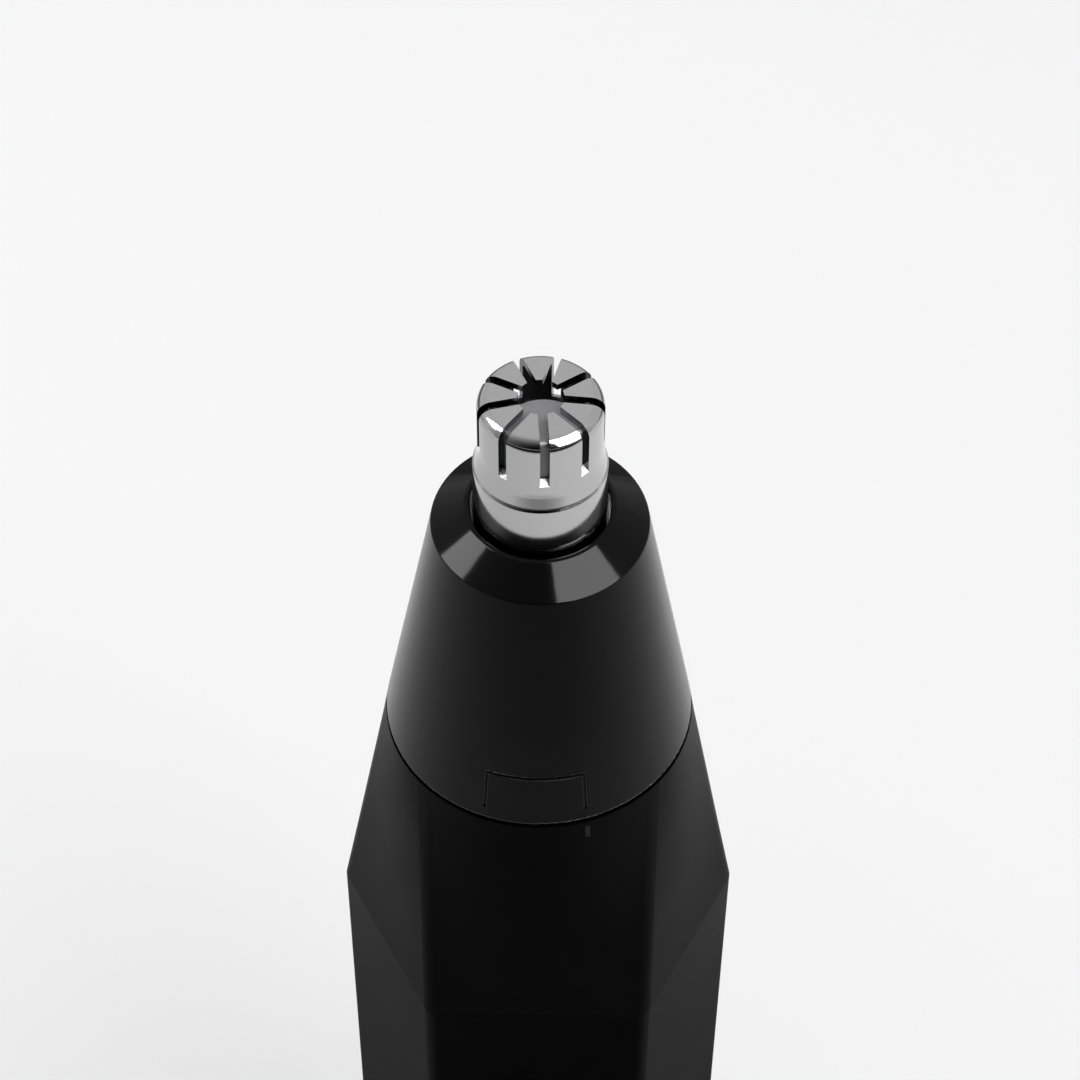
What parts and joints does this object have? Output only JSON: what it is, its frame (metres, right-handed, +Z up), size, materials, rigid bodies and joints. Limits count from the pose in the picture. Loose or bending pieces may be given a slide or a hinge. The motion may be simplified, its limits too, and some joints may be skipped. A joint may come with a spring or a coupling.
{
  "type": "nose hair trimmer",
  "caption": "Slim upright battery trimmer: slotted steel cutter in a bevelled collar, a tapered pull-off head, a hexagonal barrel with a push button, and a pull-off end cap.",
  "frame": {"origin": "centre of the flat base of the end cap, on the surface the trimmer stands on", "axes": "+Z up along the drive axis towards the cutter, -Y towards the front facet with the button, X across the two sharp corners of the hexagon"},
  "size_m": [0.03, 0.026, 0.142],
  "materials": {
    "soft_touch_black": "matte soft-touch moulding",
    "satin_black": "satin moulding",
    "gloss_black": "polished moulding",
    "polished_steel": "polished stainless with fine turning marks",
    "blade_steel": "ground stainless sheet",
    "bright_trim": "bright ring",
    "mark_grey": "printed mark",
    "frame_black": "moulded frame",
    "natural_nylon": "natural engineering plastic",
    "spring_steel": "spring wire and sheet",
    "black_rubber": "matte rubber",
    "motor_steel": "zinc plated can",
    "sintered_bronze": "sintered bush",
    "tinned_brass": "tinned brass",
    "ferrite": "ground ferrite",
    "core_steel": "stacked laminations",
    "copper_wire": "enamelled copper wire",
    "commutator_copper": "turned copper",
    "board_green": "solder resist",
    "switch_black": "moulded switch body",
    "switch_red": "moulded plunger",
    "button_black": "satin moulding",
    "wire_red": "insulation",
    "wire_black": "insulation",
    "cell_steel": "nickel plated",
    "cell_label": "plain film sleeve"
  },
  "bodies": {
    "barrel": {"barrel_shell": "soft_touch_black", "index_tick": "mark_grey", "button_bezel": "bright_trim", "chassis": "frame_black", "snap_ring": "spring_steel", "neck_o_ring": "black_rubber", "shaft_seal": "black_rubber", "motor_can": "motor_steel", "motor_screws": "spring_steel", "motor_bushings": "sintered_bronze", "motor_end_cap": "switch_black", "motor_terminals": "tinned_brass", "motor_brushes": "commutator_copper", "motor_magnets": "ferrite", "damping_ring": "black_rubber", "switch_housing": "switch_black", "switch_board": "board_green", "board_screws": "spring_steel", "motor_lead_red": "wire_red", "motor_lead_black": "wire_black", "positive_contact": "tinned_brass", "contact_strip": "tinned_brass"},
    "head": {"head_cone": "satin_black", "bevel_collar": "gloss_black", "cutter_cap": "polished_steel", "blade_bearing": "natural_nylon"},
    "blade": {"inner_blade": "blade_steel", "blade_carrier": "natural_nylon"},
    "rotor": {"motor_shaft": "spring_steel", "armature_core": "core_steel", "armature_windings": "copper_wire", "commutator": "commutator_copper", "drive_coupling": "natural_nylon", "drive_spring": "spring_steel"},
    "drive_tip": {"drive_tip": "natural_nylon"},
    "button": {"power_button": "button_black", "button_o_ring": "black_rubber", "switch_plunger": "switch_red"},
    "end_cap": {"end_cap": "soft_touch_black", "end_cap_o_ring": "black_rubber", "negative_plate": "tinned_brass", "negative_spring": "spring_steel"},
    "battery": {"battery_can": "cell_steel", "battery_terminal": "cell_steel", "battery_sleeve": "cell_label"}
  },
  "joints": [
    {"name": "head_lift", "type": "slide", "parent": "barrel", "child": "head", "axis": [0, 0, 1], "range_m": [0, 0.03]},
    {"name": "blade_spin", "type": "hinge", "parent": "head", "child": "blade", "pos_m": [0, 0, 0.125], "axis": [0, 0, 1], "continuous": true},
    {"name": "rotor_spin", "type": "hinge", "parent": "barrel", "child": "rotor", "pos_m": [0, 0, 0.1], "axis": [0, 0, 1], "continuous": true},
    {"name": "tip_float", "type": "slide", "parent": "rotor", "child": "drive_tip", "axis": [0, 0, 1], "range_m": [-0.0009, 0], "stiffness_N_per_m": 200, "springref_m": 0.001, "deforming": ["drive_spring"]},
    {"name": "button_press", "type": "slide", "parent": "barrel", "child": "button", "axis": [0, 1, 0], "range_m": [0, 0.001], "stiffness_N_per_m": 800, "springref_m": -0.0008},
    {"name": "barrel_lift", "type": "slide", "parent": "end_cap", "child": "barrel", "axis": [0, 0, 1], "range_m": [0, 0.045]},
    {"name": "battery_slide", "type": "slide", "parent": "barrel", "child": "battery", "axis": [0, 0, -1], "range_m": [0, 0.0226]}
  ],
  "couplings": [
    {"joint": "blade_spin", "follows": "rotor_spin", "ratio": 1},
    {"joint": "battery_slide", "follows": "barrel_lift", "ratio": 0.5}
  ]
}
